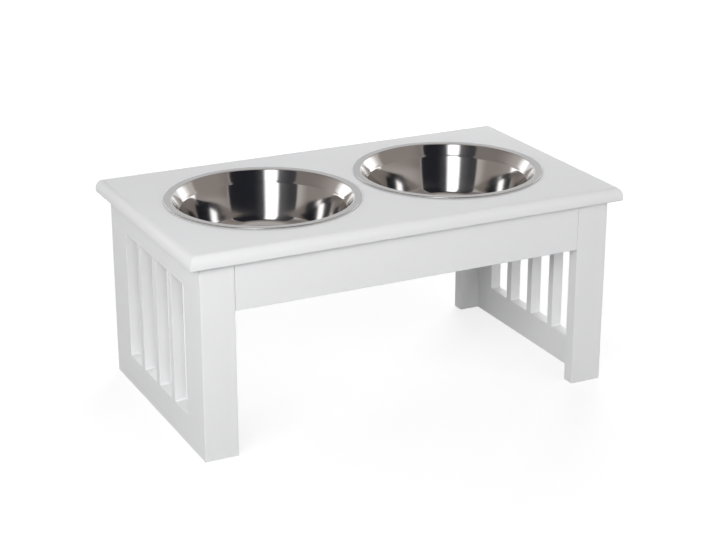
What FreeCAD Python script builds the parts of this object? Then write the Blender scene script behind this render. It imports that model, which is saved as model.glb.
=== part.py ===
import FreeCAD, Part
import math
import os

# Elevated pet feeder: a painted board stand that carries two drop-in steel bowls.
# Millimetres, +Z up, X along the stand, -Y the front.
# The origin is on the floor, under the middle of the stand.

Vector = FreeCAD.Vector

# Bowls: pressed sheet with a flat, hemmed lip, heights counted from the top board's surface, tilts in degrees
BOWL_LIP_DIAMETER = 248.0
BOWL_LIP_WIDTH = 9.5
BOWL_LIP_BEND = 2.0
BOWL_HEM_WIDTH = 4.5
BOWL_HEM_GAP = 0.4
HEM_BEND_SHARE = 0.4
BOWL_SHEET = 0.8
BOWL_DEPTH = 67.0
BOWL_BAND_DEPTH = 11.5
BOWL_BAND_DRAFT = 8.0
BOWL_STEP_WIDTH = 2.5
BOWL_STEP_HEIGHT = 3.0
BOWL_STEP_BEND = 2.0
BOWL_UPPER_TILT = 15.0
BOWL_LOWER_TILT = 20.0
BOWL_TURN_SHARE = 0.45
BOWL_TURN_BEND = 150.0
BOWL_FLOOR_BEND = 18.0
BOWL_GAP = 15.6
BOWL_PLAY = 1.2

# Room between a bowl's lip and the boards below the top
END_MARGIN = 9.2
SIDE_MARGIN = 14.0

# Top board, with a moulded edge that is widest near the bottom
STAND_HEIGHT = 266.0
TOP_THICKNESS = 18.0
TOP_END_OVERHANG = 15.0
TOP_SIDE_OVERHANG = 11.5
TOP_EDGE_INSET = 9.0
TOP_EDGE_DROP = 12.5
TOP_LOWER_ARRIS = 1.2
TOP_HOLE_ARRIS = 1.0

# End panels
PANEL_THICKNESS = 15.0
PANEL_STILE = 36.75
PANEL_SLAT = 11.5
PANEL_SLOTS = 4
PANEL_TOP_RAIL = 39.0
PANEL_BOTTOM_RAIL = 41.0
SLOT_CORNER = 2.0
SLOT_ARRIS = 0.8

# Legs and aprons
LEG_WIDTH = 43.5
LEG_THICKNESS = 18.0
LEG_ARRIS = 1.5
APRON_HEIGHT = 61.0
APRON_THICKNESS = 18.0
SEAM_ARRIS = 0.8

# Wooden dowels
DOWEL_DIAMETER = 8.0
DOWEL_LENGTH = 30.0
DOWEL_CHAMFER = 0.8
DOWEL_SEAT = 11.0
DOWEL_SIDE_PLAY = 0.1
DOWEL_END_PLAY = 0.5
APRON_DOWEL_EDGE = 11.5
TOP_DOWEL_OFFSET = 45.0
LEG_DOWEL_FOOT = 25.0
LEG_DOWEL_HEAD = 75.0

# Cam bolts and cam locks
BOLT_REACH = 34.0
BOLT_THREAD_DIAMETER = 6.0
BOLT_THREAD_LENGTH = 11.0
BOLT_SHANK_DIAMETER = 7.0
BOLT_NECK_DIAMETER = 4.0
BOLT_HEAD_DIAMETER = 7.0
BOLT_CHAMFER = 0.8
BOLT_THREAD_PLAY = 0.1
BOLT_SHANK_PLAY = 0.2
BOLT_END_PLAY = 0.5
CAM_DIAMETER = 15.0
CAM_WALL = 1.9
CAM_FLOOR = 0.7
CAM_SIDE_PLAY = 0.15
CAM_END_PLAY = 0.1
CAM_BOLT_PLAY = 0.3
CAM_SHANK_PLAY = 0.6
CAM_SLOT_START = -25.0
CAM_SLOT_SWEEP = 210.0
CAM_ENTRY_ANGLE = 170.0
CAM_CROSS_LENGTH = 9.0
CAM_CROSS_WIDTH = 1.3
CAM_CROSS_DEPTH = 2.4

# Sizes and places that follow from those above
bowl_lip_radius = BOWL_LIP_DIAMETER / 2
bowl_mouth_radius = bowl_lip_radius - BOWL_LIP_WIDTH
bowl_lip_height = 2 * BOWL_SHEET + BOWL_HEM_GAP
bowl_hem_bend = HEM_BEND_SHARE * BOWL_HEM_GAP
bowl_hole_radius = bowl_mouth_radius + BOWL_SHEET + BOWL_PLAY
bowl_centre_x = bowl_lip_radius + BOWL_GAP / 2
panel_inner_x = bowl_centre_x + bowl_lip_radius + END_MARGIN
panel_middle_x = panel_inner_x + PANEL_THICKNESS / 2
frame_end_x = panel_inner_x + PANEL_THICKNESS
leg_inner_x = frame_end_x - LEG_WIDTH
apron_inner_y = bowl_lip_radius + SIDE_MARGIN
apron_middle_y = apron_inner_y + APRON_THICKNESS / 2
frame_side_y = apron_inner_y + APRON_THICKNESS
leg_inner_y = frame_side_y - LEG_THICKNESS
top_end_x = frame_end_x + TOP_END_OVERHANG
top_side_y = frame_side_y + TOP_SIDE_OVERHANG
leg_height = STAND_HEIGHT - TOP_THICKNESS
apron_bottom_z = leg_height - APRON_HEIGHT
apron_middle_z = leg_height - APRON_HEIGHT / 2
slot_span = 2 * (leg_inner_y - PANEL_STILE)
slot_width = (slot_span - (PANEL_SLOTS - 1) * PANEL_SLAT) / PANEL_SLOTS
slot_top_z = leg_height - PANEL_TOP_RAIL
stile_middle_y = leg_inner_y - PANEL_STILE / 2
leg_dowel_top_z = leg_height - LEG_DOWEL_HEAD
leg_dowel_heights = (LEG_DOWEL_FOOT, (LEG_DOWEL_FOOT + leg_dowel_top_z) / 2, leg_dowel_top_z)
apron_dowel_rise = APRON_HEIGHT / 2 - APRON_DOWEL_EDGE
cam_radius = CAM_DIAMETER / 2
cam_cavity_half = BOLT_HEAD_DIAMETER / 2 + CAM_BOLT_PLAY

SIDES = {"left": -1, "right": 1}
FACES = {"front": -1, "back": 1}


# Small helpers for solids
def box(x, y, z):
    """A block between two values on each axis, given in either order."""
    low = Vector(min(x), min(y), min(z))
    size = Vector(max(x), max(y), max(z)) - low
    return Part.makeBox(size.x, size.y, size.z, low)


def rod(radius, start, end):
    """A round bar or bore between two points."""
    along = end - start
    return Part.makeCylinder(radius, along.Length, start, along)


def placed(shape, point, direction):
    """A shape modelled up the Z axis, set at a point and turned towards a direction."""
    shape.Placement = FreeCAD.Placement(point, FreeCAD.Rotation(Vector(0, 0, 1), direction))
    return shape


def turned(outline):
    """A solid of revolution about Z from a closed list of (radius, height) points."""
    wire = Part.makePolygon([Vector(r, 0, z) for r, z in outline + outline[:1]])
    return Part.Face(wire).revolve(Vector(), Vector(0, 0, 1), 360)


def eased(shape, radius, chosen):
    """The shape with a small round on each edge that the test picks."""
    return shape.makeFillet(radius, [edge for edge in shape.Edges if chosen(edge)])


def runs_along(edge, axis):
    """True for a straight edge parallel to an axis."""
    return isinstance(edge.Curve, Part.Line) and abs(abs(edge.Curve.Direction.dot(axis)) - 1) < 1e-6


def stands_at(edge, x, y):
    """True for an upright edge at a place in plan."""
    middle = edge.CenterOfMass
    upright = runs_along(edge, Vector(0, 0, 1))
    return upright and math.hypot(middle.x - x, middle.y - y) < 1e-3


# Wooden dowels: the seat is the shallow side of the joint, the rest goes the other way
def dowel(point, direction):
    radius = DOWEL_DIAMETER / 2
    end = DOWEL_LENGTH - DOWEL_SEAT
    outline = [(0, -DOWEL_SEAT), (radius - DOWEL_CHAMFER, -DOWEL_SEAT), (radius, -DOWEL_SEAT + DOWEL_CHAMFER),
               (radius, end - DOWEL_CHAMFER), (radius - DOWEL_CHAMFER, end), (0, end)]
    return placed(turned(outline), point, direction)


def dowel_bore(point, direction):
    """The hole for a dowel, through both boards of its joint."""
    seat = point - direction * (DOWEL_SEAT + DOWEL_END_PLAY)
    end = point + direction * (DOWEL_LENGTH - DOWEL_SEAT + DOWEL_END_PLAY)
    return rod(DOWEL_DIAMETER / 2 + DOWEL_SIDE_PLAY, seat, end)


# Cam bolts: the thread goes into one board, and the head reaches the cam in the other
def cam_bolt(point, direction):
    thread = BOLT_THREAD_DIAMETER / 2
    shank = BOLT_SHANK_DIAMETER / 2
    neck = BOLT_NECK_DIAMETER / 2
    head = BOLT_HEAD_DIAMETER / 2
    shank_end = BOLT_REACH - cam_radius - CAM_SHANK_PLAY
    outline = [(0, -BOLT_THREAD_LENGTH), (thread - BOLT_CHAMFER, -BOLT_THREAD_LENGTH),
               (thread, -BOLT_THREAD_LENGTH + BOLT_CHAMFER), (thread, 0), (shank, 0),
               (shank, shank_end), (neck, shank_end), (neck, BOLT_REACH - head),
               (head, BOLT_REACH - head + BOLT_CHAMFER), (head, BOLT_REACH + head - BOLT_CHAMFER),
               (head - BOLT_CHAMFER, BOLT_REACH + head), (0, BOLT_REACH + head)]
    return placed(turned(outline), point, direction)


def cam_bolt_bores(point, direction):
    """The pilot hole for the thread and the wider hole that leads to the cam."""
    pilot_end = point - direction * (BOLT_THREAD_LENGTH + BOLT_END_PLAY)
    pilot = rod(BOLT_THREAD_DIAMETER / 2 + BOLT_THREAD_PLAY, pilot_end, point)
    lead = rod(BOLT_SHANK_DIAMETER / 2 + BOLT_SHANK_PLAY, point, point + direction * BOLT_REACH)
    return pilot, lead


# Cam locks: a hollow drum, slotted for the bolt's neck, with a cross in its face for a screwdriver
def cam_height(board):
    return board / 2 + cam_cavity_half + CAM_FLOOR


def cam_lock(centre, face_normal, to_joint, board):
    """A cam in a board of a given thickness; the centre is on the bolt's axis."""
    depth = board / 2
    height = cam_height(board)
    slot_half = BOLT_NECK_DIAMETER / 2 + CAM_BOLT_PLAY
    drum = Part.makeCylinder(cam_radius, height, Vector(0, 0, depth - height))
    cavity = Part.makeCylinder(cam_radius - CAM_WALL, 2 * cam_cavity_half, Vector(0, 0, -cam_cavity_half))
    slot = Part.makeCylinder(CAM_DIAMETER, 2 * slot_half, Vector(0, 0, -slot_half), Vector(0, 0, 1),
                             CAM_SLOT_SWEEP)
    slot.rotate(Vector(), Vector(0, 0, 1), CAM_SLOT_START)
    entry = rod(cam_cavity_half, Vector(), Vector(CAM_DIAMETER, 0, 0))
    entry.rotate(Vector(), Vector(0, 0, 1), CAM_ENTRY_ANGLE)
    long_half = CAM_CROSS_LENGTH / 2
    short_half = CAM_CROSS_WIDTH / 2
    cross_z = (depth - CAM_CROSS_DEPTH, depth)
    cross = box((-long_half, long_half), (-short_half, short_half), cross_z)
    cross = cross.fuse(box((-short_half, short_half), (-long_half, long_half), cross_z))
    lock = drum.cut([cavity, slot, entry, cross])
    across = face_normal.cross(to_joint)
    turn = FreeCAD.Rotation(to_joint, across, face_normal, "ZXY")
    lock.Placement = FreeCAD.Placement(centre, turn)
    return lock


def cam_bore(centre, face_normal, board):
    """The blind round hole for a cam, open on the board's face."""
    depth = cam_height(board) + CAM_END_PLAY
    mouth = centre + face_normal * (board / 2)
    return rod(cam_radius + CAM_SIDE_PLAY, mouth - face_normal * depth, mouth)


# Places of the joints, one set for each corner of the stand
def apron_joint(side, face):
    """Where an apron's end meets a leg, and the direction into the apron."""
    return Vector(side * leg_inner_x, face * apron_middle_y, apron_middle_z), Vector(-side, 0, 0)


def apron_dowel_points(side, face):
    point, direction = apron_joint(side, face)
    return [(point + Vector(0, 0, rise), direction) for rise in (-apron_dowel_rise, apron_dowel_rise)]


def top_joint(side, face):
    """Where the top board meets an end panel's edge, and the direction into the panel."""
    return Vector(side * panel_middle_x, face * stile_middle_y, leg_height), Vector(0, 0, -1)


def top_dowel_point(side, face):
    return Vector(side * panel_middle_x, face * TOP_DOWEL_OFFSET, leg_height), Vector(0, 0, -1)


def leg_dowel_points(side, face):
    """Where a leg meets an end panel's edge, and the direction into the panel."""
    return [(Vector(side * panel_middle_x, face * leg_inner_y, z), Vector(0, -face, 0)) for z in leg_dowel_heights]


# Boards
def edge_section(half_width):
    """The top board's cross-section, as (across, height) edges with both moulded sides."""
    top = STAND_HEIGHT
    shoulder = top - TOP_EDGE_DROP
    bottom = leg_height
    flat = half_width - TOP_EDGE_INSET
    arris = TOP_LOWER_ARRIS
    middle = arris * (1 - math.sqrt(0.5))
    edges = [Part.LineSegment(Vector(-flat, 0, top), Vector(flat, 0, top))]
    edges.append(Part.LineSegment(Vector(arris - half_width, 0, bottom), Vector(half_width - arris, 0, bottom)))
    for sign in (-1, 1):
        centre = Vector(sign * flat, 0, shoulder)
        across = Vector(sign * TOP_EDGE_INSET, 0, 0)
        rise = Vector(0, 0, TOP_EDGE_DROP)
        moulding = Part.BSplineCurve()
        moulding.buildFromPolesMultsKnots([centre + rise, centre + across + rise, centre + across], [3, 3], [0, 1],
                                          False, 2, [1, math.sqrt(0.5), 1])
        edges.append(moulding)
        outer = sign * half_width
        edges.append(Part.LineSegment(Vector(outer, 0, shoulder), Vector(outer, 0, bottom + arris)))
        edges.append(Part.Arc(Vector(outer, 0, bottom + arris), Vector(outer - sign * middle, 0, bottom + middle),
                              Vector(outer - sign * arris, 0, bottom)))
    ordered = Part.sortEdges([edge.toShape() for edge in edges])[0]
    return Part.Face(Part.Wire(ordered))


def top_board():
    along = edge_section(top_side_y)
    along.rotate(Vector(), Vector(0, 0, 1), 90)
    along.translate(Vector(-top_end_x, 0, 0))
    across = edge_section(top_end_x)
    across.translate(Vector(0, -top_side_y, 0))
    board = along.extrude(Vector(2 * top_end_x, 0, 0)).common(across.extrude(Vector(0, 2 * top_side_y, 0)))
    for side in SIDES.values():
        centre = Vector(side * bowl_centre_x, 0, leg_height)
        board = board.cut(rod(bowl_hole_radius, centre, centre + Vector(0, 0, TOP_THICKNESS)))
    board = eased(board, TOP_HOLE_ARRIS, lambda edge: isinstance(edge.Curve, Part.Circle)
                  and abs(edge.Curve.Radius - bowl_hole_radius) < 1e-6)
    bores = []
    for side in SIDES.values():
        for face in FACES.values():
            bores.append(cam_bolt_bores(*top_joint(side, face))[0])
            bores.append(dowel_bore(*top_dowel_point(side, face)))
    return board.cut(bores)


def end_panel(side):
    inner_x = side * panel_inner_x
    outer_x = side * frame_end_x
    panel = box((inner_x, outer_x), (-leg_inner_y, leg_inner_y), (0, leg_height))
    slots = []
    for index in range(PANEL_SLOTS):
        start = -slot_span / 2 + index * (slot_width + PANEL_SLAT)
        slot = box((inner_x, outer_x), (start, start + slot_width), (PANEL_BOTTOM_RAIL, slot_top_z))
        slots.append(eased(slot, SLOT_CORNER, lambda edge: runs_along(edge, Vector(1, 0, 0))))
    panel = panel.cut(slots)

    def on_slot_mouth(edge):
        middle = edge.CenterOfMass
        on_face = min(abs(middle.x - inner_x), abs(middle.x - outer_x)) < 1e-6
        inside = abs(middle.y) < slot_span / 2 + SLOT_ARRIS and 0 < middle.z < leg_height
        return on_face and inside and not runs_along(edge, Vector(1, 0, 0))

    panel = eased(panel, SLOT_ARRIS, on_slot_mouth)
    bores = []
    for face in FACES.values():
        point, direction = top_joint(side, face)
        bores.append(cam_bolt_bores(point, direction)[1])
        bores.append(cam_bore(point + direction * BOLT_REACH, Vector(-side, 0, 0), PANEL_THICKNESS))
        bores.append(dowel_bore(*top_dowel_point(side, face)))
        bores += [dowel_bore(*joint) for joint in leg_dowel_points(side, face)]
    return panel.cut(bores)


def leg(side, face):
    outer = box((side * leg_inner_x, side * frame_end_x), (face * leg_inner_y, face * frame_side_y), (0, leg_height))
    outer = eased(outer, LEG_ARRIS, lambda edge: stands_at(edge, side * frame_end_x, face * frame_side_y))
    outer = eased(outer, SEAM_ARRIS, lambda edge: stands_at(edge, side * leg_inner_x, face * frame_side_y)
                  or stands_at(edge, side * leg_inner_x, face * leg_inner_y))
    bores = [cam_bolt_bores(*apron_joint(side, face))[0]]
    bores += [dowel_bore(*joint) for joint in apron_dowel_points(side, face) + leg_dowel_points(side, face)]
    return outer.cut(bores)


def apron(face):
    board = box((-leg_inner_x, leg_inner_x), (face * apron_inner_y, face * frame_side_y), (apron_bottom_z, leg_height))

    def on_show(edge):
        middle = edge.CenterOfMass
        lower = runs_along(edge, Vector(1, 0, 0)) and abs(middle.z - apron_bottom_z) < 1e-6
        return lower or (runs_along(edge, Vector(0, 0, 1)) and abs(middle.y - face * frame_side_y) < 1e-6)

    board = eased(board, SEAM_ARRIS, on_show)
    bores = []
    for side in SIDES.values():
        point, direction = apron_joint(side, face)
        bores.append(cam_bolt_bores(point, direction)[1])
        bores.append(cam_bore(point + direction * BOLT_REACH, Vector(0, -face, 0), APRON_THICKNESS))
        bores += [dowel_bore(*joint) for joint in apron_dowel_points(side, face)]
    return board.cut(bores)


# Bowls: one bent sheet, drawn as the line of its visible face and the same line one sheet further in
def bent_line(points, bends, offset):
    """Edges of a line with rounded corners, moved to its right by an offset.

    Each bend is the radius on the inner side of that corner, so the other side is a sheet larger.
    """
    headings = [(b - a).normalize() for a, b in zip(points, points[1:])]
    rights = [Vector(h.z, 0, -h.x) for h in headings]
    corners = [points[0] + rights[0] * offset]
    for point, before, after in zip(points[1:], rights, rights[1:]):
        corners.append(point + (before + after) * (offset / (1 + before.dot(after))))
    corners.append(points[-1] + rights[-1] * offset)
    edges = []
    start = corners[0]
    for corner, before, after, bend in zip(corners[1:], headings, headings[1:], bends):
        turn = before.getAngle(after)
        turns_left = before.x * after.z - before.z * after.x > 0
        radius = bend + offset if turns_left else bend + BOWL_SHEET - offset
        reach = radius * math.tan(turn / 2)
        first = corner - before * reach
        last = corner + after * reach
        inward = (after - before).normalize()
        middle = corner + inward * (radius / math.cos(turn / 2) - radius)
        edges.append(Part.LineSegment(start, first).toShape())
        edges.append(Part.Arc(first, middle, last).toShape())
        start = last
    edges.append(Part.LineSegment(start, corners[-1]).toShape())
    return edges, corners[0], corners[-1]


def bowl(side):
    step_radius = bowl_mouth_radius - BOWL_BAND_DRAFT - BOWL_STEP_WIDTH
    step_depth = BOWL_BAND_DEPTH + BOWL_STEP_HEIGHT
    turn_depth = step_depth + BOWL_TURN_SHARE * (BOWL_DEPTH - step_depth)
    turn_radius = step_radius - (turn_depth - step_depth) * math.tan(math.radians(BOWL_UPPER_TILT))
    floor_radius = turn_radius - (BOWL_DEPTH - turn_depth) * math.tan(math.radians(BOWL_LOWER_TILT))
    path = [(0, -BOWL_DEPTH), (floor_radius, -BOWL_DEPTH), (turn_radius, -turn_depth),
            (step_radius, -step_depth),
            (bowl_mouth_radius - BOWL_BAND_DRAFT, -BOWL_BAND_DEPTH), (bowl_mouth_radius, bowl_lip_height),
            (bowl_lip_radius, bowl_lip_height), (bowl_lip_radius, 0), (bowl_lip_radius - BOWL_HEM_WIDTH, 0)]
    bends = [BOWL_FLOOR_BEND, BOWL_TURN_BEND, BOWL_STEP_BEND, BOWL_STEP_BEND, BOWL_LIP_BEND, bowl_hem_bend,
             bowl_hem_bend]
    points = [Vector(r, 0, z) for r, z in path]
    shown, shown_start, shown_end = bent_line(points, bends, 0)
    hidden, hidden_start, hidden_end = bent_line(points, bends, BOWL_SHEET)
    ends = [Part.LineSegment(shown_start, hidden_start).toShape(), Part.LineSegment(shown_end, hidden_end).toShape()]
    outline = Part.Wire(Part.sortEdges(shown + hidden + ends)[0])
    sheet = Part.Face(outline).revolve(Vector(), Vector(0, 0, 1), 360)
    sheet.translate(Vector(side * bowl_centre_x, 0, STAND_HEIGHT))
    return sheet


def build():
    """Every piece of the feeder, by node name."""
    pieces = {"top_board": top_board()}
    for side_name, side in SIDES.items():
        pieces[side_name + "_end_panel"] = end_panel(side)
        pieces[side_name + "_bowl"] = bowl(side)
    for face_name, face in FACES.items():
        pieces[face_name + "_apron"] = apron(face)
        for side_name, side in SIDES.items():
            corner = face_name + "_" + side_name
            pieces[corner + "_leg"] = leg(side, face)
            pieces[corner + "_leg_dowels"] = Part.makeCompound([dowel(*joint) for joint in leg_dowel_points(side, face)])
            point, direction = apron_joint(side, face)
            pieces[corner + "_apron_dowels"] = Part.makeCompound(
                [dowel(*joint) for joint in apron_dowel_points(side, face)])
            pieces[corner + "_apron_cam_bolt"] = cam_bolt(point, direction)
            pieces[corner + "_apron_cam_lock"] = cam_lock(
                point + direction * BOLT_REACH, Vector(0, -face, 0), -direction, APRON_THICKNESS)
            point, direction = top_joint(side, face)
            pieces[corner + "_top_dowel"] = dowel(*top_dowel_point(side, face))
            pieces[corner + "_top_cam_bolt"] = cam_bolt(point, direction)
            pieces[corner + "_top_cam_lock"] = cam_lock(
                point + direction * BOLT_REACH, Vector(-side, 0, 0), -direction, PANEL_THICKNESS)
    return pieces


os.makedirs("parts", exist_ok=True)
for node, shape in build().items():
    shape.exportStep(os.path.join("parts", node + ".step"))
    size = shape.BoundBox
    print(f"{node}: {len(shape.Solids)} solid(s), valid {shape.isValid()}, {shape.Volume / 1000:.1f} cm3, "
          f"{size.XLength:.1f} x {size.YLength:.1f} x {size.ZLength:.1f} mm")
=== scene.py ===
# %% [markdown]
# # A raised feeder for two bowls
# The real object is a low table of painted board. Two steel bowls drop into round holes in its top,
# so that a dog can eat without bending down. The construction is already settled in a CAD model.
# That model could be dressed as it is, but its edges are sharp and its faces are bare. So we load it
# as a fixed frame and model each board and bowl again in Blender, in exactly the same place, with
# softened edges and real finishes. The fittings inside keep their CAD shape.

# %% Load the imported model
import math

import bmesh
import bpy
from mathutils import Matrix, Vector


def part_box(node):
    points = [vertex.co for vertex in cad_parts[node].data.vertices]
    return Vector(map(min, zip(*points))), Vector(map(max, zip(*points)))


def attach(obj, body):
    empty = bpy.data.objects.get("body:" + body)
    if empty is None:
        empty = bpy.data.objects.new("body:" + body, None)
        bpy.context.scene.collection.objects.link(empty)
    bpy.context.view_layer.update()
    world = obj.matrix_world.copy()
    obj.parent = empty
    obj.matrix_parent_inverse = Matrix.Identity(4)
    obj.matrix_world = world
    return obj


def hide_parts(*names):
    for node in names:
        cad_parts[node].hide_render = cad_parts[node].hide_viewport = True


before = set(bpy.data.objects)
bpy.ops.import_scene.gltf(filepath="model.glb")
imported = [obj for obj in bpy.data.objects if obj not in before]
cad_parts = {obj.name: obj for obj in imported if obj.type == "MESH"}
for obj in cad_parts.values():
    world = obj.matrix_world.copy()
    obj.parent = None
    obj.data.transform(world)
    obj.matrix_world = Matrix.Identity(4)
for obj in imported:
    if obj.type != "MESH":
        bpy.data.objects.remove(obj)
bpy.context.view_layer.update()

# %% [markdown]
# ## The camera
# A product photograph is taken from further away than one would think, with a long lens, because
# that keeps the edges of a table nearly parallel. One could aim a camera by eye until the view looks
# right. Here the angles are the photograph's own, found by fitting the corners of the stand, so that
# the render can be laid over the picture.

# %% Set up the camera
MM = 0.001
CAMERA_AZIMUTH = math.radians(-26.448)
CAMERA_ELEVATION = math.radians(20.456)
CAMERA_DISTANCE = 2.2975
CAMERA_AIM = Vector((0, -0.0016, 0.1476))
CAMERA_LENS_MM = 88.57


def away(azimuth, elevation):
    """The direction from the object to a viewer; azimuth 0 is the front, positive to the right."""
    level = math.cos(elevation)
    return Vector((math.sin(azimuth) * level, -math.cos(azimuth) * level, math.sin(elevation)))


towards_camera = away(CAMERA_AZIMUTH, CAMERA_ELEVATION)
bpy.ops.object.camera_add(location=CAMERA_AIM + towards_camera * CAMERA_DISTANCE)
camera = bpy.context.object
camera.name = "photo_camera"
camera.rotation_euler = (-towards_camera).to_track_quat("-Z", "Y").to_euler()
camera.data.lens = CAMERA_LENS_MM
bpy.context.scene.camera = camera
print("camera stands at", [round(value, 3) for value in camera.location])

# %% [markdown]
# ## Shader maths in Python
# A finish is a small network of nodes, and wiring it by hand soon becomes hard to read. So one class
# wraps a socket and lets us write ordinary sums: each `+` or `*` adds a Math node behind the scenes.
# Every node comes from its `make` method, which sets the node up before it is linked.


# %% A socket that understands arithmetic
class Shade:
    """A socket of a node tree. Arithmetic on it adds Math nodes to the same tree."""

    def __init__(self, tree, socket):
        self.tree = tree
        self.socket = socket

    @staticmethod
    def make(tree, kind, settings, sockets, output=0):
        """Add a node, set it up, give its sockets values or links, and return one of its outputs."""
        made = tree.nodes.new(kind)
        for name, value in settings.items():
            setattr(made, name, value)
        for name, value in sockets.items():
            if isinstance(value, Shade):
                tree.links.new(value.socket, made.inputs[name])
            else:
                made.inputs[name].default_value = value
        return Shade(tree, made.outputs[output])

    def node(self, kind, settings, sockets, output=0):
        return Shade.make(self.tree, kind, settings, sockets, output)

    def math(self, operation, first, second=0.0):
        return self.node("ShaderNodeMath", {"operation": operation}, {0: first, 1: second})

    def __add__(self, other):
        return self.math("ADD", self, other)

    def __sub__(self, other):
        return self.math("SUBTRACT", self, other)

    def __mul__(self, other):
        return self.math("MULTIPLY", self, other)

    def __rsub__(self, other):
        return self.math("SUBTRACT", other, self)

    __radd__ = __add__
    __rmul__ = __mul__

    def power(self, exponent):
        return self.math("POWER", self, exponent)

    def size(self):
        return self.math("ABSOLUTE", self)

    def larger(self, other):
        return self.math("MAXIMUM", self, other)

    def rise(self, start, end):
        """0 below start, 1 above end, and a smooth step between them."""
        return self.node("ShaderNodeMapRange", {"interpolation_type": "SMOOTHSTEP"},
                         {"Value": self, "From Min": start, "From Max": end})

    def window(self, opening, closing):
        """1 between two soft edges and 0 outside them; each edge is a start and an end."""
        return self.rise(*opening) * (1 - self.rise(*closing))

    def axes(self):
        """The X, Y and Z of a vector, as three numbers."""
        return [self.node("ShaderNodeSeparateXYZ", {}, {0: self}, axis) for axis in range(3)]

    def vector(self, x, y, z):
        return self.node("ShaderNodeCombineXYZ", {}, {0: x, 1: y, 2: z})

    def noise(self, scale, detail):
        """Soft noise read at this place; about this many patches to the metre."""
        return self.node("ShaderNodeTexNoise", {}, {"Vector": self, "Scale": scale, "Detail": detail})

    def blend(self, low, high):
        """One colour where this number is 0, another where it is 1."""
        return self.node("ShaderNodeMix", {"data_type": "RGBA"}, {0: self, 6: low, 7: high}, 2)

    def bumps(self, strength, depth):
        """A Normal that tilts as if this number were a height, up to a depth in metres."""
        return self.node("ShaderNodeBump", {}, {"Height": self, "Strength": strength, "Distance": depth})


print("a socket now takes sums, windows, noise, blends and bumps")


# %% A fresh finish, and how to feed it
def new_finish(name):
    """A material, its main shader, and the place on the piece as a Shade."""
    material = bpy.data.materials.new(name)
    material.use_nodes = True
    tree = material.node_tree
    shader = tree.nodes["Principled BSDF"]
    place = Shade.make(tree, "ShaderNodeTexCoord", {}, {}, "Object")
    return material, shader, place


def feed(shader, **values):
    """Set or link the main shader's sockets; an underscore in a name stands for a space."""
    for name, value in values.items():
        socket = shader.inputs[name.replace("_", " ")]
        if isinstance(value, Shade):
            value.tree.links.new(value.socket, socket)
        else:
            socket.default_value = value


def distance(x, y):
    """How far a place lies from an upright axis, from its steps along X and Y."""
    return (x * x + y * y).power(0.5)


print("shader tools ready")

# %% [markdown]
# ## Finish: satin white paint
# The boards are fibreboard with a sprayed satin lacquer. A plain white with one roughness would look
# like plastic, because such paint is never quite flat: it dries with a fine orange peel about two
# millimetres across, the fibres of the board show through faintly, and the sheen drifts a little
# from place to place. We build all three from noise on Object coordinates. These are real metres
# here, so the peel has one size on every board, which a stretched UV map would not give.

# %% Mix the paint
PAINT_LIGHT = (0.86, 0.862, 0.866, 1)
PAINT_DEEP = (0.835, 0.837, 0.841, 1)
DRIFT_PATCHES = 9
PEEL_PATCHES = 480
FIBRE_PATCHES = 1900
PEEL_SHARE, FIBRE_SHARE = 0.75, 0.25
PAINT_ROUGH, DRIFT_ROUGH, PEEL_ROUGH = 0.40, 0.10, 0.06
PEEL_STRENGTH = 0.12
PEEL_DEPTH = 0.15 * MM
PAINT_SHINE = 0.42


def satin_white_paint():
    material, shader, place = new_finish("satin_white_paint")
    drift = place.noise(DRIFT_PATCHES, detail=3)
    peel = place.noise(PEEL_PATCHES, detail=1)
    fibre = place.noise(FIBRE_PATCHES, detail=2)
    height = peel * PEEL_SHARE + fibre * FIBRE_SHARE
    rough = PAINT_ROUGH + drift * DRIFT_ROUGH + peel * PEEL_ROUGH
    feed(shader, Base_Color=drift.blend(PAINT_DEEP, PAINT_LIGHT), Roughness=rough,
         Normal=height.bumps(PEEL_STRENGTH, PEEL_DEPTH), Specular_IOR_Level=PAINT_SHINE)
    return material


white_paint = satin_white_paint()
print("paint:", len(white_paint.node_tree.nodes), "nodes")

# %% [markdown]
# ## Finish: polished steel
# The bowls are pressed from stainless sheet and polished on a lathe, which leaves very fine rings
# around the bowl's axis. The well is close to a mirror, the lip is brushed to a satin, and the
# outside is left as the press made it. Anisotropic gloss could stand in for the rings, but it needs
# a UV map that runs around the bowl. So the rings are noise that reads only two numbers, the distance
# from the axis and the height, and cannot change along a ring. Both bowls stand at the same distance
# from the middle of the stand, and one material serves both when it reads the size of X.

# %% Find the bowls' axes, and draw rings around them
bowl_low, bowl_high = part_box("right_bowl")
BOWL_X = (bowl_low.x + bowl_high.x) / 2
LIP_RADIUS = (bowl_high.x - bowl_low.x) / 2
LIP_WIDTH = 9.5 * MM
mouth_radius = LIP_RADIUS - LIP_WIDTH


def from_bowl_axis(x, y):
    """How far a place lies from the axis of the bowl on its own side of the stand."""
    return distance(x.size() - BOWL_X, y)


def bowl_rings(place, scale):
    """Noise in rings around a bowl's axis."""
    x, y, z = place.axes()
    return place.vector(from_bowl_axis(x, y), 0.0, z).noise(scale, detail=3)


print("bowls: axes at x = +-", round(BOWL_X, 4), "lips", round(2 * LIP_RADIUS / MM), "mm across")

# %% Polish the steel
STEEL = (0.75, 0.735, 0.72, 1)
STEEL_DULL = (0.70, 0.69, 0.68, 1)
RING_PATCHES = 900
SMEAR_PATCHES = 35
SATIN_FROM, SATIN_TO = mouth_radius - 1 * MM, mouth_radius + 2 * MM
MIRROR_ROUGH, RING_ROUGH, SMEAR_ROUGH, SATIN_ROUGH = 0.06, 0.05, 0.03, 0.14
RING_STRENGTH = 0.05
RING_DEPTH = 0.02 * MM
PRESS_PATCHES = 420
STAIN_PATCHES = 60
PRESS_ROUGH, PRESS_RING_ROUGH, STAIN_ROUGH = 0.30, 0.12, 0.06
PRESS_STRENGTH = 0.10
PRESS_DEPTH = 0.05 * MM


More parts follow.
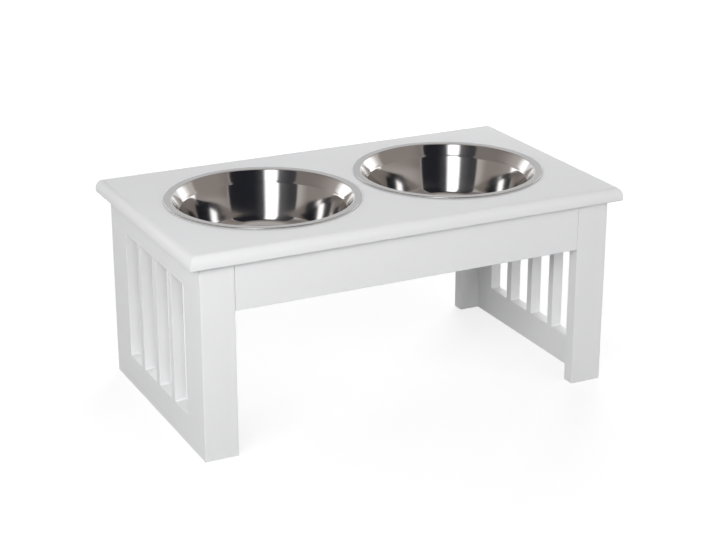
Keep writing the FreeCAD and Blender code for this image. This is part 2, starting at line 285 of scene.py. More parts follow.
def polished_steel():
    material, shader, place = new_finish("polished_steel")
    rings = bowl_rings(place, RING_PATCHES)
    smears = place.noise(SMEAR_PATCHES, detail=3)
    on_lip = from_bowl_axis(*place.axes()[:2]).rise(SATIN_FROM, SATIN_TO)
    rough = MIRROR_ROUGH + rings * RING_ROUGH + smears * SMEAR_ROUGH + on_lip * SATIN_ROUGH
    feed(shader, Base_Color=smears.blend(STEEL_DULL, STEEL), Metallic=1.0, Roughness=rough,
         Normal=rings.bumps(RING_STRENGTH, RING_DEPTH))
    return material


def pressed_steel():
    material, shader, place = new_finish("pressed_steel")
    rings = bowl_rings(place, PRESS_PATCHES)
    stains = place.noise(STAIN_PATCHES, detail=4)
    rough = PRESS_ROUGH + rings * PRESS_RING_ROUGH + stains * STAIN_ROUGH
    feed(shader, Base_Color=stains.blend(STEEL_DULL, STEEL), Metallic=1.0, Roughness=rough,
         Normal=rings.bumps(PRESS_STRENGTH, PRESS_DEPTH))
    return material


steel_inside = polished_steel()
steel_outside = pressed_steel()
print("steel: mirror inside with", len(steel_inside.node_tree.nodes), "nodes, matt outside")

# %% [markdown]
# ## Finish: cast zinc and beech
# The fittings hide inside the stand. The round cams and their bolts are zinc castings, grey and
# slightly grainy. The dowels are beech, with a straight grain along the peg. A wave texture could draw
# that grain, but it is too regular. Noise that is squeezed across the peg and left long along it
# gives streaks of uneven length, as in wood.

# %% Cast the zinc
ZINC_LIGHT = (0.56, 0.57, 0.58, 1)
ZINC_DARK = (0.40, 0.41, 0.42, 1)
CAST_PATCHES = 1400
CLOUD_PATCHES = 150
ZINC_METAL = 0.95
ZINC_ROUGH, CAST_ROUGH = 0.38, 0.18
CAST_STRENGTH = 0.25
CAST_DEPTH = 0.08 * MM


def cast_zinc():
    material, shader, place = new_finish("cast_zinc")
    grain = place.noise(CAST_PATCHES, detail=3)
    clouds = place.noise(CLOUD_PATCHES, detail=3)
    feed(shader, Base_Color=clouds.blend(ZINC_DARK, ZINC_LIGHT), Metallic=ZINC_METAL,
         Roughness=ZINC_ROUGH + grain * CAST_ROUGH, Normal=grain.bumps(CAST_STRENGTH, CAST_DEPTH))
    return material


zinc = cast_zinc()
print("zinc:", len(zinc.node_tree.nodes), "nodes")

# %% Turn the beech
BEECH_LIGHT = (0.62, 0.43, 0.27, 1)
BEECH_DARK = (0.46, 0.29, 0.165, 1)
GRAIN_STRETCH = 0.06
GRAIN_PATCHES = 1100
FLECK_PATCHES = 3200
BEECH_ROUGH, FLECK_ROUGH = 0.55, 0.2
FLECK_STRENGTH = 0.3
FLECK_DEPTH = 0.1 * MM


def beech(axis):
    """Beech whose grain runs along one axis of the stand, 0 for X, 1 for Y or 2 for Z."""
    material, shader, place = new_finish("beech_along_" + "xyz"[axis])
    squeezed = place.axes()
    squeezed[axis] = squeezed[axis] * GRAIN_STRETCH
    grain = place.vector(*squeezed).noise(GRAIN_PATCHES, detail=4)
    flecks = place.vector(*squeezed).noise(FLECK_PATCHES, detail=2)
    feed(shader, Base_Color=grain.blend(BEECH_DARK, BEECH_LIGHT),
         Roughness=BEECH_ROUGH + flecks * FLECK_ROUGH, Normal=flecks.bumps(FLECK_STRENGTH, FLECK_DEPTH))
    return material


beech_along = [beech(axis) for axis in range(3)]
print("beech:", len(beech_along), "directions of grain")

# %% [markdown]
# ## Modelling by hand, in code
# A mesh could be written out as lists of points, but then nobody sees how a board becomes a part. So
# each board starts as a cube primitive at its real size and place, read from the CAD node it stands
# for, and is worked with the same operators that a hand on the mouse would use. Operators act on
# whatever is selected, so the first helpers make a piece the only active object, and open it in edit
# mode with edges or faces selected by their place.

# %% Helpers that stand in for the mouse
def activate(piece):
    """Leave edit mode, and make one piece the only selected object."""
    if bpy.context.object and bpy.context.object.mode == "EDIT":
        bpy.ops.object.mode_set(mode="OBJECT")
    bpy.ops.object.select_all(action="DESELECT")
    piece.select_set(True)
    bpy.context.view_layer.objects.active = piece


def block(name, low, high):
    """A cube primitive stretched between two corners, with its place and size in its mesh."""
    bpy.ops.object.select_all(action="DESELECT")
    bpy.ops.mesh.primitive_cube_add(size=1, location=(low + high) / 2)
    piece = bpy.context.object
    piece.name = name
    piece.scale = high - low
    bpy.ops.object.transform_apply(location=True, rotation=True, scale=True)
    return piece


def select(piece, kind, test):
    """Open a piece in edit mode with only the edges or faces selected that a test picks."""
    activate(piece)
    bpy.ops.object.mode_set(mode="EDIT")
    bpy.ops.mesh.select_mode(type=kind)
    bpy.ops.mesh.select_all(action="DESELECT")
    cage = bmesh.from_edit_mesh(piece.data)
    parts = cage.edges if kind == "EDGE" else cage.faces
    chosen = [part for part in parts if test(part)]
    for part in chosen:
        part.select_set(True)
    bmesh.update_edit_mesh(piece.data)
    return len(chosen)


print("hand tools ready")

# %% [markdown]
# ## Softening an edge
# No real board has a sharp edge: a sanding block takes it off before the paint goes on. A Bevel
# modifier would round all edges of a board alike. The bevel operator rounds only those that a test
# picks, each with its own radius, so the tests below tell edges apart by their place and direction.
# Smooth shading would then bulge the wide faces, so weighted normals keep them flat.

# %% Tests for edges and faces, and the round itself
TINY = 0.02 * MM
PARALLEL = 0.999
SQUARE_ON = 0.9
SMOOTH_ANGLE = math.radians(32)
FOOT_SEGMENTS, ARRIS_SEGMENTS, CORNER_SEGMENTS, MOULDING_SEGMENTS = 2, 3, 4, 12


def middle(edge):
    return (edge.verts[0].co + edge.verts[1].co) / 2


def runs(edge, axis):
    """True if an edge is parallel to an axis."""
    along = edge.verts[1].co - edge.verts[0].co
    return abs(along[axis]) > PARALLEL * along.length


def looks_along_x(face):
    return abs(face.normal.x) > SQUARE_ON


def near(value, *targets):
    return any(abs(value - target) < TINY for target in targets)


def round_off(piece, radius, segments, test):
    """Bevel the edges that a test picks into a round, and count them."""
    count = select(piece, "EDGE", test)
    bpy.ops.mesh.bevel(offset=radius, offset_type="OFFSET", segments=segments, profile=0.5,
                       affect="EDGES", clamp_overlap=False)
    bpy.ops.object.mode_set(mode="OBJECT")
    return count


def keep_flat(board):
    """Turn the normals at a board's rounded edges so that its wide faces still shade as flat."""
    activate(board)
    bpy.ops.object.shade_smooth_by_angle(angle=SMOOTH_ANGLE)
    flat = board.modifiers.new("flat faces", "WEIGHTED_NORMAL")
    flat.keep_sharp = True
    bpy.ops.object.modifier_apply(modifier=flat.name)


print("arrises are rounded in", ARRIS_SEGMENTS, "steps")


# %% Hand a finished piece over
def finish_piece(piece, body, node, slot, *materials):
    """Paint a piece, and let it ride in place of a CAD node."""
    piece.data.materials.clear()
    for material in materials:
        piece.data.materials.append(material)
    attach(piece, body)
    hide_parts(node)
    print(f"{piece.name}: {len(piece.data.polygons)} faces")


def paint_board(board, node):
    """Shade a board as flat, paint it, and let it ride on the stand."""
    keep_flat(board)
    finish_piece(board, "stand", node, "white_paint", white_paint)


SIDES = (("left", -1), ("right", 1))
FACES = (("front", -1), ("back", 1))
print("the stand has", len(SIDES), "ends and", len(FACES), "long faces")

# %% [markdown]
# ## Drilling
# Cam locks sit in round pockets, flush with the inner face of a board. One could inset a face and push
# it in, but a plain board has no round face to start from. So a pocket is cut with a Boolean modifier:
# a cylinder primitive is placed where the CAD cam is, a little wider and deeper, and the modifier is
# applied so that only the cut stays.

# %% A drill for round holes
CAM_SIDE_PLAY = 0.15 * MM
CAM_END_PLAY = 0.1 * MM
DRILL_OVERRUN = 1 * MM
CAM_SIDES = 48


def drill(piece, start, end, radius, sides):
    """Cut a round hole between two points out of a piece."""
    along = end - start
    bpy.ops.object.select_all(action="DESELECT")
    bpy.ops.mesh.primitive_cylinder_add(vertices=sides, radius=radius, depth=along.length,
                                        location=(start + end) / 2,
                                        rotation=along.to_track_quat("Z", "Y").to_euler())
    bit = bpy.context.object
    activate(piece)
    cut = piece.modifiers.new("drill", "BOOLEAN")
    cut.operation = "DIFFERENCE"
    cut.solver = "EXACT"
    cut.object = bit
    bpy.ops.object.modifier_apply(modifier=cut.name)
    bpy.data.objects.remove(bit)


def pocket(piece, cam, axis, inward):
    """Drill the pocket of a cam lock; inward is the sign of the direction that its face looks in."""
    low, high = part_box(cam)
    centre = (low + high) / 2
    others = [index for index in range(3) if index != axis]
    radius = max(high[index] - low[index] for index in others) / 2 + CAM_SIDE_PLAY
    face, base = (high, low) if inward > 0 else (low, high)
    start, end = centre.copy(), centre.copy()
    start[axis] = face[axis] + inward * DRILL_OVERRUN
    end[axis] = base[axis] - inward * CAM_END_PLAY
    drill(piece, start, end, radius, CAM_SIDES)


print("drill ready, with", CAM_SIDE_PLAY / MM, "mm of play around a cam")

# %% [markdown]
# ## The top board
# The top is one board with a moulded edge: a router bit leaves an elliptical round on the upper side,
# deeper than it is wide, and a straight band below it. A bevel can only make a circular round, and
# sweeping a drawn outline around the board would need four mitres. So we squash the board in height,
# bevel it and stretch it back: the circle becomes an ellipse and the corners mitre by themselves.
# The lower arris is sanded, and so are the edges of the two holes.

# %% Shape the top board
EDGE_INSET = 9 * MM
EDGE_DROP = 12.5 * MM
LOWER_ARRIS = 2 * MM
HOLE_ARRIS = 1 * MM
HOLE_PLAY = 1.2 * MM
SHEET = 0.8 * MM
HOLE_SIDES = 160

top_low, top_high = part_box("top_board")
hole_radius = mouth_radius + SHEET + HOLE_PLAY


def squash_height(piece, factor):
    """Scale a piece in height about the top board's surface."""
    select(piece, "FACE", lambda face: True)
    bpy.ops.transform.resize(value=(1, 1, factor), center_override=(0, 0, top_high.z))
    bpy.ops.object.mode_set(mode="OBJECT")


def on_hole(edge):
    """True for the edges around the two holes, above and below."""
    place = middle(edge)
    reach = math.hypot(abs(place.x) - BOWL_X, place.y)
    return near(place.z, top_low.z, top_high.z) and abs(reach - hole_radius) < HOLE_ARRIS / 10


def make_top_board():
    board = block("painted_top_board", top_low, top_high)
    squash_height(board, EDGE_INSET / EDGE_DROP)
    round_off(board, EDGE_INSET, MOULDING_SEGMENTS, lambda edge: near(middle(edge).z, top_high.z))
    squash_height(board, EDGE_DROP / EDGE_INSET)
    round_off(board, LOWER_ARRIS, ARRIS_SEGMENTS, lambda edge: near(middle(edge).z, top_low.z))
    for side in (-1, 1):
        above = Vector((side * BOWL_X, 0, top_high.z + DRILL_OVERRUN))
        below = Vector((side * BOWL_X, 0, top_low.z - DRILL_OVERRUN))
        drill(board, above, below, hole_radius, HOLE_SIDES)
    count = round_off(board, HOLE_ARRIS, ARRIS_SEGMENTS, on_hole)
    print("hole edges rounded:", count)
    return board


paint_board(make_top_board(), "top_board")

# %% [markdown]
# ## The end panels
# Each end is a single board with four tall slots routed through it, which leaves three slats. By
# hand one would inset and delete faces, and Booleans would cut the slots too. Here bisect planes rule
# the outline of the slots on the board, and bridging a slot's inner and outer face opens it, which
# leaves clean edges to round. Then the slot corners get the router bit's radius, and every slot mouth
# a soft arris, so that light catches it as it does on paint.

# %% Rule the slots and open them
SLOT_COUNT = 4
SLOT_TOP_RAIL = 39 * MM
SLOT_BOTTOM_RAIL = 41 * MM
STILE = 36.75 * MM
SLAT = 11.5 * MM


def slot_layout(low, high):
    """Where the slots start along Y, how wide they are, and their lower and upper ends."""
    span = high.y - low.y - 2 * STILE
    width = (span - (SLOT_COUNT - 1) * SLAT) / SLOT_COUNT
    starts = [-span / 2 + index * (width + SLAT) for index in range(SLOT_COUNT)]
    return starts, width, (low.z + SLOT_BOTTOM_RAIL, high.z - SLOT_TOP_RAIL)


def in_slot(place, starts, width, ends, margin=0.0):
    """True if a place lies in one of the slots, as seen from the end of the stand."""
    beside = any(start - margin < place.y < start + width + margin for start in starts)
    return beside and ends[0] - margin < place.z < ends[1] + margin


def rule(piece, axis, at):
    """Cut a line all round a piece with a plane square to an axis."""
    select(piece, "FACE", lambda face: True)
    point, normal = Vector(), Vector()
    point[axis] = at
    normal[axis] = 1
    bpy.ops.mesh.bisect(plane_co=point, plane_no=normal)
    bpy.ops.object.mode_set(mode="OBJECT")


def open_slot(panel, start, width, ends):
    """Bridge the inner and the outer face of one slot."""
    def on_slot(face):
        return looks_along_x(face) and in_slot(face.calc_center_median(), [start], width, ends)

    select(panel, "FACE", on_slot)
    bpy.ops.mesh.bridge_edge_loops()
    bpy.ops.object.mode_set(mode="OBJECT")


def open_slots(panel, starts, width, ends):
    for start in starts:
        rule(panel, 1, start)
        rule(panel, 1, start + width)
    for end in ends:
        rule(panel, 2, end)
    for start in starts:
        open_slot(panel, start, width, ends)


print("slots to open in each end:", SLOT_COUNT)

# %% Soften the slots, and make both ends
SLOT_CORNER = 2 * MM
SLOT_ARRIS = 0.8 * MM
FOOT_ARRIS = 0.6 * MM


def soften_slots(panel, low, high, layout):
    """Give the slots the router bit's corners and their mouths a soft arris; count the mouth edges."""
    def in_mouth(edge):
        return in_slot(middle(edge), *layout, TINY)

    def on_mouth(edge):
        tunnel = [face for face in edge.link_faces if not looks_along_x(face)]
        return len(tunnel) == 1 and near(middle(edge).x, low.x, high.x) and in_mouth(edge)

    round_off(panel, SLOT_CORNER, CORNER_SEGMENTS, lambda edge: runs(edge, 0) and in_mouth(edge))
    return round_off(panel, SLOT_ARRIS, ARRIS_SEGMENTS, on_mouth)


def make_end_panel(side_name, side):
    node = side_name + "_end_panel"
    low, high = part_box(node)
    layout = slot_layout(low, high)
    panel = block("painted_" + node, low, high)
    open_slots(panel, *layout)
    count = soften_slots(panel, low, high, layout)

    def on_foot(edge):
        return runs(edge, 1) and near(middle(edge).z, low.z) and near(middle(edge).x, low.x, high.x)

    round_off(panel, FOOT_ARRIS, FOOT_SEGMENTS, on_foot)
    for face_name in ("front", "back"):
        pocket(panel, f"{face_name}_{side_name}_top_cam_lock", 0, -side)
    print(f"{node}: slots {layout[1] / MM:.1f} mm wide, {count} mouth edges softened")
    return panel, node


for side_name, side in SIDES:
    paint_board(*make_end_panel(side_name, side))

# %% [markdown]
# ## The legs
# A leg is a strip of board across the edge of an end panel. Panel and leg could be one mesh, but
# inside the leg steps in from the panel, as two boards do. Outside they are flush and painted over, so
# that joint gets no groove. The leg's outer corner is sanded to a small round, and the upright edges
# on its inner side are eased, because there the apron butts against it.

# %% Shape the legs
LEG_CORNER = 1.5 * MM
SEAM_ARRIS = 0.8 * MM


def make_leg(side_name, side, face_name, face):
    node = f"{face_name}_{side_name}_leg"
    low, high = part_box(node)
    inner_x, outer_x = (low.x, high.x) if side > 0 else (high.x, low.x)
    inner_y, outer_y = (low.y, high.y) if face > 0 else (high.y, low.y)
    leg = block("painted_" + node, low, high)

    def upright_at(edge, x, *places_y):
        return runs(edge, 2) and near(middle(edge).x, x) and near(middle(edge).y, *places_y)

    def on_foot(edge):
        level = near(edge.verts[0].co.z, low.z) and near(edge.verts[1].co.z, low.z)
        return level and not near(middle(edge).y, inner_y)

    round_off(leg, LEG_CORNER, CORNER_SEGMENTS, lambda edge: upright_at(edge, outer_x, outer_y))
    round_off(leg, SEAM_ARRIS, ARRIS_SEGMENTS, lambda edge: upright_at(edge, inner_x, outer_y, inner_y))
    round_off(leg, FOOT_ARRIS, FOOT_SEGMENTS, on_foot)
    return leg, node


for side_name, side in SIDES:
    for face_name, face in FACES:
        paint_board(*make_leg(side_name, side, face_name, face))

# %% [markdown]
# ## The aprons
# An apron is a board between two legs, flush with them. On the real stand a thin shadow line shows at
# each end, where two painted boards butt together. It could be drawn on as a dark line, but that
# would look the same in any light. So the apron is a hair shorter than the space between the legs,
# and its edges there are eased: the gap makes its own shadow.

# %% Shape the aprons
SEAM_GAP = 0.35 * MM


def make_apron(face_name, face):
    node = face_name + "_apron"
    low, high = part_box(node)
    outer_y = high.y if face > 0 else low.y
    gap = Vector((SEAM_GAP, 0, 0))
    apron = block("painted_" + node, low + gap, high - gap)

    def on_show(edge):
        lower = runs(edge, 0) and near(middle(edge).z, low.z)
        return lower or (runs(edge, 2) and near(middle(edge).y, outer_y))

    round_off(apron, SEAM_ARRIS, ARRIS_SEGMENTS, on_show)
    for side_name in ("left", "right"):
        pocket(apron, f"{face_name}_{side_name}_apron_cam_lock", 1, -face)
    return apron, node


for face_name, face in FACES:
    paint_board(*make_apron(face_name, face))

# %% [markdown]
# ## The bowls: an outline
# A bowl is one sheet of steel, pressed on a round die: a flat floor, a wall that leans a little less
# in its lower part and turns from one lean to the other in a wide soft bend, a fine step, a flared
# band, and a flat lip whose edge is folded under into a hem. What one sees in the steel depends on
# those leans, because a mirror that tips by one degree turns its picture by two. A subdivided mesh
# would blur the step, so the outline is worked out from straight runs and true arcs.

# %% Measure the outline's corners
LIP_HEIGHT = 2 * MM
LIP_BEND = 2.8 * MM
HEM_WIDTH = 4.5 * MM
HEM_BEND = 0.96 * MM
BAND_DEPTH = 11.5 * MM
BAND_DRAFT = 8 * MM
STEP_WIDTH = 1.6 * MM
STEP_HEIGHT = 2.4 * MM
STEP_BEND = 3.2 * MM
BOWL_DEPTH = 67 * MM
UPPER_TILT = math.radians(21.5)
LOWER_TILT = math.radians(17.5)
TURN_SHARE = 0.2
TURN_BEND = 150 * MM
FLOOR_BEND = 18 * MM

band_radius = mouth_radius - BAND_DRAFT
wall_radius = band_radius - STEP_WIDTH
step_depth = BAND_DEPTH + STEP_HEIGHT
turn_depth = step_depth + TURN_SHARE * (BOWL_DEPTH - step_depth)
turn_radius = wall_radius - (turn_depth - step_depth) * math.tan(UPPER_TILT)
floor_radius = turn_radius - (BOWL_DEPTH - turn_depth) * math.tan(LOWER_TILT)
# Each corner is a radius, a height over the board, and the radius of its bend.
CORNERS = [(0, -BOWL_DEPTH, 0), (floor_radius, -BOWL_DEPTH, FLOOR_BEND),
           (turn_radius, -turn_depth, TURN_BEND), (wall_radius, -step_depth, STEP_BEND),
           (band_radius, -BAND_DEPTH, STEP_BEND), (mouth_radius, LIP_HEIGHT, LIP_BEND),
           (LIP_RADIUS, LIP_HEIGHT, HEM_BEND), (LIP_RADIUS, 0, HEM_BEND), (LIP_RADIUS - HEM_WIDTH, 0, 0)]
print("bowl:", len(CORNERS), "corners, floor", round(2 * floor_radius / MM), "mm across")

# %% Round the corners
LONGEST_RUN = 4 * MM
TURN_STEP = math.radians(5)


def rounded_line(corners):
    """Points along a line of (radius, height, bend) corners, with an arc at each bend."""
    points = [Vector((corner[0], 0, corner[1])) for corner in corners]
    line = [points[0]]

    def run_to(point):
        start = line[-1]
        pieces = max(1, math.ceil((point - start).length / LONGEST_RUN))
        line.extend(start.lerp(point, step / pieces) for step in range(1, pieces + 1))

    for before, point, after, corner in zip(points, points[1:], points[2:], corners[1:]):
        bend = corner[2]
        arriving, leaving = (point - before).normalized(), (after - point).normalized()
        turn = arriving.angle(leaving)
        reach = bend * math.tan(turn / 2)
        run_to(point - arriving * reach)
        inward = (leaving - arriving).normalized()
        centre = point + inward * (bend / math.cos(turn / 2))
        first, last = point - arriving * reach - centre, point + leaving * reach - centre
        steps = max(2, math.ceil(turn / TURN_STEP))
        line.extend(centre + first.slerp(last, step / steps) * bend for step in range(1, steps + 1))
    run_to(points[-1])
    return line


outline = rounded_line(CORNERS)
print("bowl outline:", len(outline), "points")

# %% [markdown]
# ## The bowls: spinning
# A lathe turns a bowl around its axis, and so do we. A Screw modifier could spin the outline too, but
# the spin operator leaves a mesh that can be mended at once: the outline is extruded from one vertex
# to the next, spun, merged where the ends meet, and its normals are made to agree. Only then does
# Solidify give it the sheet's thickness, with polish on the inner skin and the press's finish outside.

# %% Spin the bowls
SPIN_STEPS = 192


def spin_skin(name, centre_x):
    """Draw the outline as a chain of edges, and spin it into a closed skin with no thickness."""
    bpy.ops.object.select_all(action="DESELECT")
    axis_point = Vector((centre_x, 0, top_high.z))
    bpy.ops.mesh.primitive_plane_add(size=1 * MM, location=axis_point + outline[0])
    bowl = bpy.context.object
    bowl.name = name
    bpy.ops.object.transform_apply(location=True, rotation=True, scale=True)
    bpy.ops.object.mode_set(mode="EDIT")
    bpy.ops.mesh.select_mode(type="VERT")
    bpy.ops.mesh.select_all(action="SELECT")
    bpy.ops.mesh.merge(type="CENTER")
    for start, end in zip(outline, outline[1:]):
        bpy.ops.mesh.extrude_vertices_move(TRANSFORM_OT_translate={"value": end - start})
    bpy.ops.mesh.select_all(action="SELECT")
    bpy.ops.mesh.spin(steps=SPIN_STEPS, angle=2 * math.pi, center=axis_point, axis=(0, 0, 1))
    bpy.ops.mesh.select_all(action="SELECT")
    bpy.ops.mesh.remove_doubles(threshold=TINY / 10)
    bpy.ops.mesh.normals_make_consistent(inside=False)
    bpy.ops.object.mode_set(mode="OBJECT")
    return bowl


def thicken(bowl):
    """Give a skin the sheet's thickness, away from its inside, which keeps the first finish."""
    activate(bowl)
    floor_up = min(bowl.data.polygons, key=lambda face: face.center.z).normal.z
    wall = bowl.modifiers.new("sheet", "SOLIDIFY")
    wall.thickness = SHEET
    wall.offset = 1 if floor_up < 0 else -1
    wall.use_even_offset = True
    wall.material_offset = 1 if floor_up > 0 else 0
    bpy.ops.object.modifier_apply(modifier=wall.name)
    bpy.ops.object.shade_smooth_by_angle(angle=SMOOTH_ANGLE)
    print(bowl.name, "floor looks", "up" if floor_up > 0 else "down", "before it gets its thickness")


for side_name, side in SIDES:
    bowl = spin_skin(f"steel_{side_name}_bowl", side * BOWL_X)
    thicken(bowl)
    finish_piece(bowl, side_name + "_bowl", side_name + "_bowl", "steel", steel_inside, steel_outside)

# %% [markdown]
# ## Fittings that stay as CAD made them
# Cams, bolts and dowels hold the boards together from inside. They could be modelled again like the
# boards, but they already have the right shape, down to the cross in each cam, so their CAD nodes
# stay. They only need a real finish in place of the plain grey.

# %% Dress the fittings
GRAIN_AXIS = {"leg_dowels": 1, "apron_dowels": 0, "top_dowel": 2}
dressed = 0
for name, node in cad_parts.items():
    kind = next((key for key in GRAIN_AXIS if name.endswith(key)), None)
    if kind:
        node.material_slots[0].material = beech_along[GRAIN_AXIS[kind]]
        dressed += 1
    elif "cam_" in name:
        node.material_slots[0].material = zinc
        dressed += 1
print("fittings dressed:", dressed)

# %% [markdown]
# ## The studio's floor
# The photograph was taken on white paper, with a faint soft shadow under the stand. More light would
# whiten the floor, but it would burn out the paint as well. So the floor is grey in its own right, and
# glows only for rays that show it to the eye, directly or in the steel. The glow grows with the
# distance from the stand: near the feet the shadow still shows, and far away the paper is white.

# %% Lay the floor
FLOOR_WIDTH = 14.0
FLOOR_COLOUR = (0.38, 0.38, 0.38, 1)
FLOOR_ROUGH = 0.9
NO_GLOW = (0, 0, 0, 1)
PAPER_GLOW = (0.70, 0.70, 0.70, 1)
FAR_GLOW = (0.92, 0.92, 0.92, 1)
NEAR_PAPER, FAR_PAPER = 0.5, 2.0


def seen_rays(tree):
    """1 for rays that show a background to the eye, directly, in a mirror or through glass."""
    camera_ray, glossy_ray, through_ray = (
        Shade.make(tree, "ShaderNodeLightPath", {}, {}, f"Is {kind} Ray")
        for kind in ("Camera", "Glossy", "Transmission"))
    return camera_ray.larger(glossy_ray).larger(through_ray)


def paper_white():
    material, shader, place = new_finish("paper_white")
    far = distance(*place.axes()[:2]).rise(NEAR_PAPER, FAR_PAPER)
    glow = seen_rays(material.node_tree).blend(NO_GLOW, far.blend(PAPER_GLOW, FAR_GLOW))
    feed(shader, Base_Color=FLOOR_COLOUR, Roughness=FLOOR_ROUGH, Specular_IOR_Level=0.0,
         Emission_Color=glow, Emission_Strength=1.0)
    return material


bpy.ops.object.select_all(action="DESELECT")
bpy.ops.mesh.primitive_plane_add(size=FLOOR_WIDTH, location=(0, 0, 0))
floor = bpy.context.object
floor.name = "studio_floor"
floor.data.materials.append(paper_white())
print("floor:", FLOOR_WIDTH, "m square")

# %% [markdown]
# ## The studio's light
# Paint needs soft light from several sides, so that no face goes black. The world alone could give it,
# but then every face would look the same. Here the world is a moderate even fill, and four wide lamps
# shape the boards: a long one at the left, a weak one at the right front, and two behind, of which
# the right one reaches into the slots. Reflections don't see the lamps, because what the steel shows
# is painted on a room of its own.

# %% Light the studio
FILL = (0.31, 0.31, 0.314, 1)
WHITE = (1, 1, 1, 1)
LIGHT_AIM = Vector((0, 0, 0.2))
# Each lamp has a name, a place, a width and a height in metres, and a power in watts.
LIGHTS = [("key_light", Vector((-1.05, -1.1, 0.85)), 1.5, 0.25, 17.5),
          ("front_light", Vector((1.1, -1.4, 0.5)), 0.8, 0.6, 5.6),
          ("back_left_light", Vector((-1.3, 1.5, 0.7)), 1.2, 0.8, 3.0),
          ("back_right_light", Vector((1.1, 1.5, 1.0)), 1.2, 0.8, 25)]

world = bpy.data.worlds.new("studio_air")
bpy.context.scene.world = world
world.use_nodes = True
sky = world.node_tree.nodes["Background"]
feed(sky, Color=seen_rays(world.node_tree).blend(FILL, WHITE))

for name, place, width, height, power in LIGHTS:
    bpy.ops.object.light_add(type="AREA", location=place)
    light = bpy.context.object
    light.name = name
    light.data.shape = "RECTANGLE"
    light.data.size = width
    light.data.size_y = height
    light.data.energy = power
    light.visible_glossy = False
    light.rotation_euler = (place - LIGHT_AIM).to_track_quat("Z", "Y").to_euler()
    print(name, "stands", round((place - LIGHT_AIM).length, 2), "m from the stand")
bpy.context.scene.view_settings.view_transform = "Standard"

# %% [markdown]
# ## The room that the steel reflects
# Polished steel has no colour of its own: it shows the room. A photograph of a studio could be wrapped
# around the world, but this script reads no pictures, and loose cards leave gaps between them. So one
# large cylinder stands around everything, seen only in reflections, and its colours go by bearing and
# height: a dark side behind the camera with one soft box in it, taupe walls, a pale wall and paper at
# the back with a lit panel on either side, and a ceiling. It takes no light, so it glows with painted
# light: painted lamps, a painted glow around the soft box, and lit and shaded copies of the taupe.

# %% Choose the room's colours and where they lie
TAUPE = (0.30, 0.267, 0.25, 1)
LIT_TAUPE = (0.56, 0.525, 0.50, 1)
SHADED_TAUPE = (0.235, 0.21, 0.2, 1)
BACK_WALL = (0.60, 0.605, 0.615, 1)
CEILING = (0.50, 0.478, 0.46, 1)
BLACK = (0, 0, 0, 1)
DARK = (0.018, 0.019, 0.025, 1)
DARK_GLOW = (0.135, 0.135, 0.142, 1)
BACKDROP = (0.85, 0.85, 0.86, 1)
SIDE_LIGHT = (1.7, 1.7, 1.72, 1)
SOFT_BOX = (2.2, 2.2, 2.25, 1)
# Bearings are degrees from the front, positive to the right. Each edge has a start and an end.
DARK_FROM = -75.5
DARK_EDGES = (DARK_FROM - 1, DARK_FROM + 1), (59, 61)
BESIDE_DARK = 18
BOX_EDGES = (-50, -44), (-32, -25)
# These are degrees away from the camera's bearing, to either side.
BEHIND = 80, 140
BACK_WALL_EDGE = 135, 150
BACKDROP_EDGE = 138, 150
SIDE_LIGHT_EDGES = (108, 117), (139, 149)
# Degrees to the left of the front: the glow grows in two steps around the soft box, and fades.
GLOW_BEFORE, GLOW_AFTER, GLOW_FADE = (10, 30), (38, 47), (46, 68)
GLOW_SHARE, GLOW_LOSS = 0.5, 0.35
# These are heights in metres.
LOW_WALL_TOP = 0.5, 1.0
BACKDROP_TOP = 0.7, 1.1
SIDE_LIGHT_TOP = 1.2, 1.9
SHADE_START = 2.2, 3.6
BOX_HEIGHTS = (0.2, 0.5), (5.4, 6.0)
CEILING_START = 7.5, 8.3
CEILING_REACH = 2.2, 3.8
print("dark side:", round(DARK_EDGES[1][0] - DARK_FROM), "degrees wide")


# %% Lay the colours around the room
def shows_only(material, shader, colour):
    """Make a material glow with the painted light it is given, and take no light."""
    feed(shader, Base_Color=BLACK, Specular_IOR_Level=0.0, Emission_Color=colour, Emission_Strength=1.0)
    return material


def wall_colours(bearing, from_camera, z):
    """Taupe walls with painted light: lit taupe low down, beside the dark side and towards the back,
    and painted shade high up, with paper and lit panels at the back.
    """
    # Painted light: lit taupe beside the dark side and towards the back, then painted shade high up.
    beside_dark = 1 - (DARK_FROM - bearing).rise(0, BESIDE_DARK)
    walls = beside_dark.larger(from_camera.rise(*BEHIND)).blend(TAUPE, LIT_TAUPE)
    walls = (1 - z.rise(*LOW_WALL_TOP)).blend(walls, LIT_TAUPE)
    walls = z.rise(*SHADE_START).blend(walls, SHADED_TAUPE)
    walls = from_camera.rise(*BACK_WALL_EDGE).blend(walls, BACK_WALL)
    backdrop = from_camera.rise(*BACKDROP_EDGE) * (1 - z.rise(*BACKDROP_TOP))
    side_lights = from_camera.window(*SIDE_LIGHT_EDGES) * (1 - z.rise(*SIDE_LIGHT_TOP))
    return side_lights.blend(backdrop.blend(walls, BACKDROP), SIDE_LIGHT)


def dark_colours(bearing):
    """Nearly black, with a glow around the soft box."""
    leftwards = 0 - bearing
    glow = leftwards.rise(*GLOW_BEFORE) + leftwards.rise(*GLOW_AFTER)
    glow = glow * (GLOW_SHARE - GLOW_LOSS * leftwards.rise(*GLOW_FADE))
    return glow.blend(DARK, DARK_GLOW)


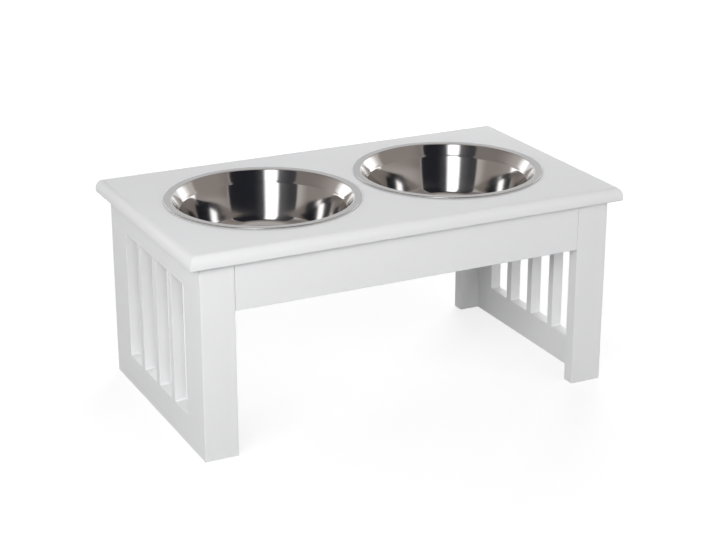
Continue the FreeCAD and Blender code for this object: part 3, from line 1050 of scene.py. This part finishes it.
def room_colours():
    material, shader, place = new_finish("room_colours")
    x, y, z = place.axes()
    bearing = x.math("ARCTAN2", x, 0 - y) * math.degrees(1)
    from_camera = (bearing - math.degrees(CAMERA_AZIMUTH)).size()
    walls = wall_colours(bearing, from_camera, z)
    colour = bearing.window(*DARK_EDGES).blend(walls, dark_colours(bearing))
    ceiling = (1 - distance(x, y).rise(*CEILING_REACH)).blend(TAUPE, CEILING)
    colour = z.rise(*CEILING_START).blend(colour, ceiling)
    # A painted lamp: the soft box glows on the room's wall.
    box = bearing.window(*BOX_EDGES) * z.window(*BOX_HEIGHTS)
    return shows_only(material, shader, box.blend(colour, SOFT_BOX))


room_paint = room_colours()
print("room paint:", len(room_paint.node_tree.nodes), "nodes")

# %% Stand the room
ROOM_RADIUS = 4.6
ROOM_HEIGHT = 8.5
ROOM_SIDES = 72


def only_in_reflections(thing):
    for kind in ("camera", "diffuse", "shadow", "transmission", "volume_scatter"):
        setattr(thing, "visible_" + kind, False)


bpy.ops.object.select_all(action="DESELECT")
bpy.ops.mesh.primitive_cylinder_add(vertices=ROOM_SIDES, radius=ROOM_RADIUS, depth=ROOM_HEIGHT,
                                    end_fill_type="NGON", location=(0, 0, ROOM_HEIGHT / 2))
room = bpy.context.object
room.name = "studio_room"
bpy.ops.object.transform_apply(location=True, rotation=True, scale=True)
select(room, "FACE", lambda face: face.normal.z < -SQUARE_ON)
bpy.ops.mesh.delete(type="FACE")
bpy.ops.object.mode_set(mode="OBJECT")
room.data.materials.append(room_paint)
only_in_reflections(room)
print("room:", len(room.data.polygons), "faces")

# %% [markdown]
# ## A card close to the stand
# In the photograph the dark side ends at a different place in each bowl. The far wall of a room looks
# the same from both bowls, so whatever ends the dark must stand close by. A card at the right front
# does that: each bowl sees its front edge from its own side. It carries painted light: lit taupe at
# that edge and along its foot, painted shade just behind the edge, and the walls' taupe further back.

# %% Stand the card at the right front
CARD_EDGE = Vector((0.319, -0.75, 0))
CARD_END = Vector((1.25, -0.05, 0))
CARD_HEIGHT = 3.0
LIT_CARD_EDGE = 0.012, 0.03
SHADE_DEPTH = 0.0, 0.35
LIT_CARD_FOOT = 0.3, 0.55


def card_colours():
    material, shader, place = new_finish("card_colours")
    x, y, z = place.axes()
    # Painted light: lit taupe at the front edge and along the foot, painted shade just behind the edge.
    back = distance(x - CARD_EDGE.x, y - CARD_EDGE.y)
    shaded = back.rise(*SHADE_DEPTH).blend(SHADED_TAUPE, TAUPE)
    upper = back.rise(*LIT_CARD_EDGE).blend(LIT_TAUPE, shaded)
    return shows_only(material, shader, z.rise(*LIT_CARD_FOOT).blend(LIT_TAUPE, upper))


along_card = CARD_END - CARD_EDGE
card_middle = (CARD_EDGE + CARD_END) / 2 + Vector((0, 0, CARD_HEIGHT / 2))
bpy.ops.object.select_all(action="DESELECT")
bpy.ops.mesh.primitive_plane_add(size=1, location=card_middle)
card = bpy.context.object
card.name = "side_card"
card.scale = (along_card.length, CARD_HEIGHT, 1)
card.rotation_euler = (math.pi / 2, 0, math.atan2(along_card.y, along_card.x))
bpy.ops.object.transform_apply(location=True, rotation=True, scale=True)
card.data.materials.append(card_colours())
only_in_reflections(card)
print("card: front edge at", [round(value, 3) for value in CARD_EDGE])
